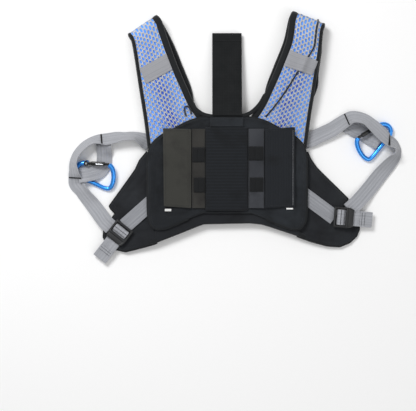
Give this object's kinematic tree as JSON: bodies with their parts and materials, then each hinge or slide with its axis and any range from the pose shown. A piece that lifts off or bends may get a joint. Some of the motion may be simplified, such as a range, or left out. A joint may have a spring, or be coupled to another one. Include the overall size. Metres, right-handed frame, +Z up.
{
  "type": "safety harness vest",
  "caption": "Padded safety harness vest lying flat, with mesh-faced shoulder straps, chest pocket panel, side webbing with two carabiners, ladder locks and a lift-up centre strap.",
  "frame": {"origin": "middle of the back panel's underside, where the vest rests on the floor", "axes": "+X to the viewer's right across the vest, +Y towards the shoulder straps, +Z up off the floor"},
  "size_m": [0.5479, 0.4141, 0.0298],
  "materials": {
    "black_nylon": "coarse woven black nylon, matt",
    "dark_webbing": "dark grey woven webbing, matt",
    "flap_fabric": "smooth dark olive-grey coated fabric",
    "ribbed_elastic": "ribbed stretch fabric, matt",
    "blue_mesh": "pale grey open net over bright blue lining",
    "grey_webbing": "woven grey nylon webbing, slight sheen",
    "grey_band": "soft woven grey tape",
    "blue_aluminium": "blue anodised, glossy",
    "black_aluminium": "gloss black",
    "steel": "bright",
    "black_plastic": "satin moulded plastic",
    "white_label": "blank woven label"
  },
  "bodies": {
    "vest": {"left_shoulder_pad": "black_nylon", "right_shoulder_pad": "black_nylon", "left_inner_binding": "black_nylon", "left_outer_binding": "black_nylon", "right_inner_binding": "black_nylon", "right_outer_binding": "black_nylon", "shock_cord": "black_nylon", "left_cord_loop": "black_nylon", "back_panel": "black_nylon", "front_base": "black_nylon", "chest_panel": "black_nylon", "left_wing": "black_nylon", "right_wing": "black_nylon", "left_upper_keeper": "black_nylon", "left_lower_keeper": "black_nylon", "right_upper_keeper": "black_nylon", "right_lower_keeper": "black_nylon", "top_strap_anchor": "black_nylon", "left_shoulder_mesh": "blue_mesh", "right_shoulder_mesh": "blue_mesh", "back_lining_mesh": "blue_mesh", "left_strap_band": "grey_band", "right_strap_band": "grey_band", "left_wing_webbing": "grey_webbing", "right_wing_webbing": "grey_webbing", "left_side_strap": "grey_webbing", "right_side_strap": "grey_webbing", "left_carabiner_loop": "grey_webbing", "right_carabiner_loop": "grey_webbing", "centre_sleeve": "ribbed_elastic", "left_strip": "dark_webbing", "right_strip": "dark_webbing", "left_label": "white_label", "right_label": "white_label"},
    "left_flap": {"left_flap": "flap_fabric"},
    "right_flap": {"right_flap": "ribbed_elastic"},
    "top_strap": {"top_strap": "black_nylon"},
    "left_lock": {"left_ladder_lock": "black_plastic", "left_strap_tail": "grey_webbing", "left_tail_hem": "grey_webbing"},
    "right_lock": {"right_ladder_lock": "black_plastic", "right_strap_tail": "grey_webbing", "right_tail_hem": "grey_webbing"},
    "left_carabiner": {"left_carabiner_frame": "blue_aluminium", "left_gate_pin": "steel"},
    "right_carabiner": {"right_carabiner_frame": "blue_aluminium", "right_gate_pin": "steel"},
    "left_gate": {"left_carabiner_gate": "black_aluminium", "left_gate_spring": "steel"},
    "right_gate": {"right_carabiner_gate": "black_aluminium", "right_gate_spring": "steel"}
  },
  "joints": [
    {"name": "left_flap_open", "type": "hinge", "parent": "vest", "child": "left_flap", "pos_m": [-0.058, 0, 0.0289], "axis": [0, 1, 0], "range_deg": [0, 120]},
    {"name": "right_flap_open", "type": "hinge", "parent": "vest", "child": "right_flap", "pos_m": [0.0608, 0, 0.0289], "axis": [0, -1, 0], "range_deg": [0, 120]},
    {"name": "top_strap_lift", "type": "hinge", "parent": "vest", "child": "top_strap", "pos_m": [-0.0002, 0.0873, 0.0254], "axis": [1, 0, 0], "range_deg": [0, 90]},
    {"name": "left_lock_tilt", "type": "hinge", "parent": "vest", "child": "left_lock", "pos_m": [-0.1675, -0.0925, 0.0166], "axis": [-0.788, 0.6157, 0], "range_deg": [0, 35]},
    {"name": "right_lock_tilt", "type": "hinge", "parent": "vest", "child": "right_lock", "pos_m": [0.176, -0.077, 0.0174], "axis": [-0.0872, -0.9962, 0], "range_deg": [0, 35]},
    {"name": "left_carabiner_swing", "type": "hinge", "parent": "vest", "child": "left_carabiner", "pos_m": [-0.24119, -0.00014, 0.00652], "axis": [-0.0718, -0.1768, 0.9816], "range_deg": [-2, 4]},
    {"name": "right_carabiner_swing", "type": "hinge", "parent": "vest", "child": "right_carabiner", "pos_m": [0.26128, 0.066, 0.00633], "axis": [0.1313, -0.1137, 0.9848], "range_deg": [-5, 1.5]},
    {"name": "left_gate_open", "type": "hinge", "parent": "left_carabiner", "child": "left_gate", "pos_m": [-0.23067, 0.01107, 0.00931], "axis": [0.0718, 0.1768, -0.9816], "range_deg": [0, 22], "stiffness_Nm_per_rad": 0.05, "springref_deg": -11.46},
    {"name": "right_gate_open", "type": "hinge", "parent": "right_carabiner", "child": "right_gate", "pos_m": [0.24679, 0.07125, 0.00887], "axis": [0.1313, -0.1137, 0.9848], "range_deg": [0, 22], "stiffness_Nm_per_rad": 0.05, "springref_deg": -11.46}
  ]
}
